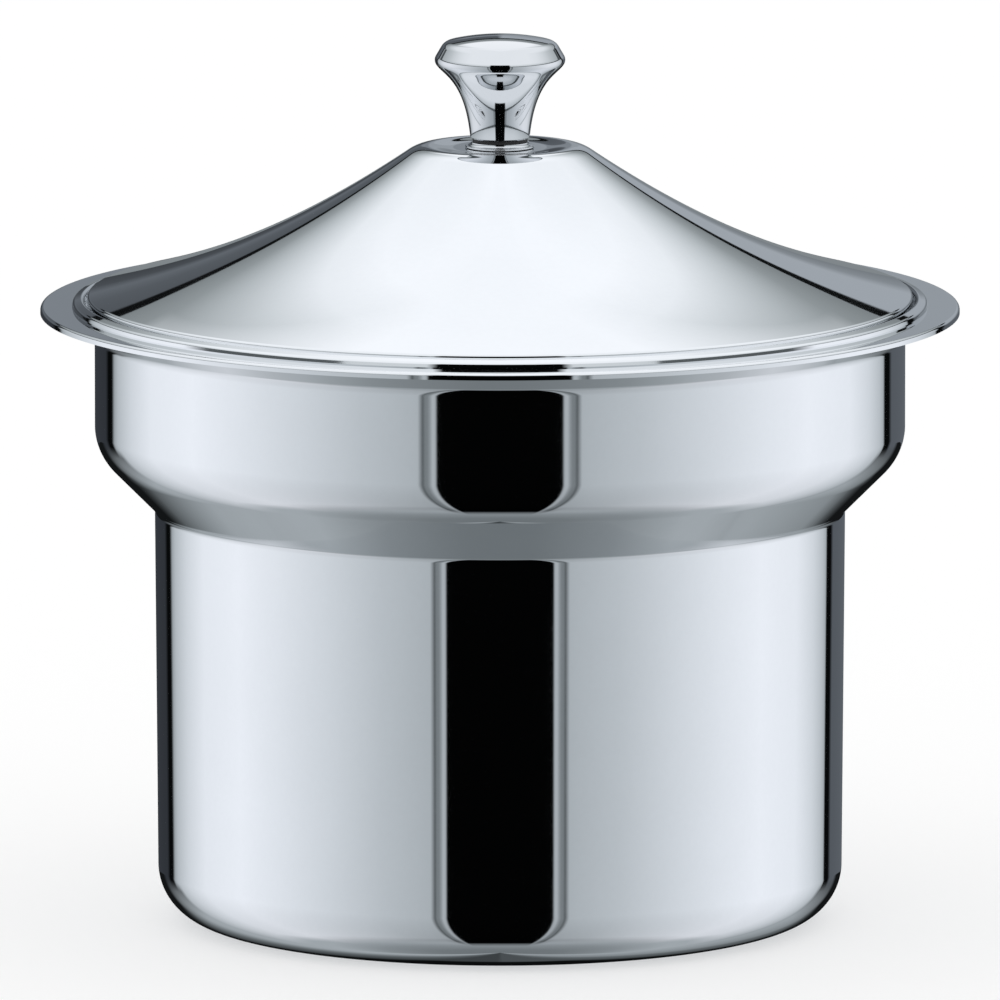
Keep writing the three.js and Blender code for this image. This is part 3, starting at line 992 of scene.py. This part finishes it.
def tent():
    """The light tent round the object: a large ball that only reflections see."""
    verts = [(0, 0, -TENT_RADIUS), (0, 0, TENT_RADIUS)]
    for i in range(1, TENT_ROWS):
        rise = HALF * i / TENT_ROWS - QUARTER
        out = TENT_RADIUS * math.cos(rise)
        for k in range(TENT_SIDES):
            a = FULL * k / TENT_SIDES
            verts.append((out * math.cos(a), out * math.sin(a), TENT_RADIUS * math.sin(rise)))
    faces = []
    top_row = 2 + (TENT_ROWS - 2) * TENT_SIDES
    for k in range(TENT_SIDES):
        m = (k + 1) % TENT_SIDES
        faces.append((0, 2 + m, 2 + k))
        faces.append((1, top_row + k, top_row + m))
        for i in range(TENT_ROWS - 2):
            row = 2 + i * TENT_SIDES
            next_row = row + TENT_SIDES
            faces.append((row + k, row + m, next_row + m, next_row + k))
    obj = new_object("light_tent", verts, faces)
    obj.data.materials.append(tent_material())
    obj.visible_camera = False
    obj.visible_diffuse = False
    obj.visible_shadow = False
    obj.visible_volume_scatter = False
    return obj


# The floor, and the even light from all round
WHITE = (1, 1, 1, 1)
FLOOR_RADIUS = 9.0
FLOOR_SIDES = 96
FLOOR_DROP = 0.0003
FLOOR_GREY = (0.55, 0.55, 0.55, 1)
FLOOR_GLOW = 0.47
LAMP_STRENGTH = 0.97


def floor_material():
    """A matt floor that also glows by itself, so that the object's shadow on it is faint."""
    material, tree = glowing_material("floor_white")
    matt = tree.node("ShaderNodeBsdfDiffuse", {"Color": FLOOR_GREY}).outputs[0]
    glow = tree.glow(WHITE, tree.times(tree.shown_background(), FLOOR_GLOW))
    tree.show(tree.node("ShaderNodeAddShader", {0: matt, 1: glow}).outputs[0])
    return material


def floor():
    """A plain white floor that keeps the object's soft shadow."""
    turns = [FULL * k / FLOOR_SIDES for k in range(FLOOR_SIDES)]
    ring = [(FLOOR_RADIUS * math.cos(a), FLOOR_RADIUS * math.sin(a), 0) for a in turns]
    obj = new_object("studio_floor", ring, [tuple(range(FLOOR_SIDES))])
    obj.data.materials.append(floor_material())
    obj.location.z = -FLOOR_DROP
    obj.visible_glossy = False
    return obj


def world():
    """Plain even light; the background shows white."""
    made = bpy.data.worlds.new("studio_world")
    bpy.context.scene.world = made
    made.use_nodes = True
    tree = Tree(made.node_tree)
    lamp = tree.nodes["Background"]
    lamp.inputs["Color"].default_value = WHITE
    lamp.inputs["Strength"].default_value = LAMP_STRENGTH
    white = tree.node("ShaderNodeBackground", {"Color": WHITE, "Strength": 1.0})
    inputs = {0: tree.shown_background(), 1: lamp.outputs[0], 2: white.outputs[0]}
    tree.show(tree.node("ShaderNodeMixShader", inputs).outputs[0], "World Output")


# The camera at the photograph's angle, far off
CAMERA_FAR = 10.1
CAMERA_RISE = math.radians(8.87)
AIM_HEIGHT = 0.1517
FRAME_WIDTH = 0.3593
SENSOR = 36.0
CLIP_NEAR = 0.5
CLIP_FAR = 100.0


def camera():
    data = bpy.data.cameras.new("photo_camera")
    data.sensor_width = SENSOR
    data.lens = SENSOR * CAMERA_FAR / FRAME_WIDTH
    data.clip_start = CLIP_NEAR
    data.clip_end = CLIP_FAR
    obj = bpy.data.objects.new("photo_camera", data)
    bpy.context.scene.collection.objects.link(obj)
    back = CAMERA_FAR * math.cos(CAMERA_RISE)
    up = CAMERA_FAR * math.sin(CAMERA_RISE)
    obj.location = (0, -back, AIM_HEIGHT + up)
    obj.rotation_euler = (QUARTER - CAMERA_RISE, 0, 0)
    bpy.context.scene.camera = obj


tent()
floor()
world()
camera()
bpy.context.scene.view_settings.view_transform = "Standard"
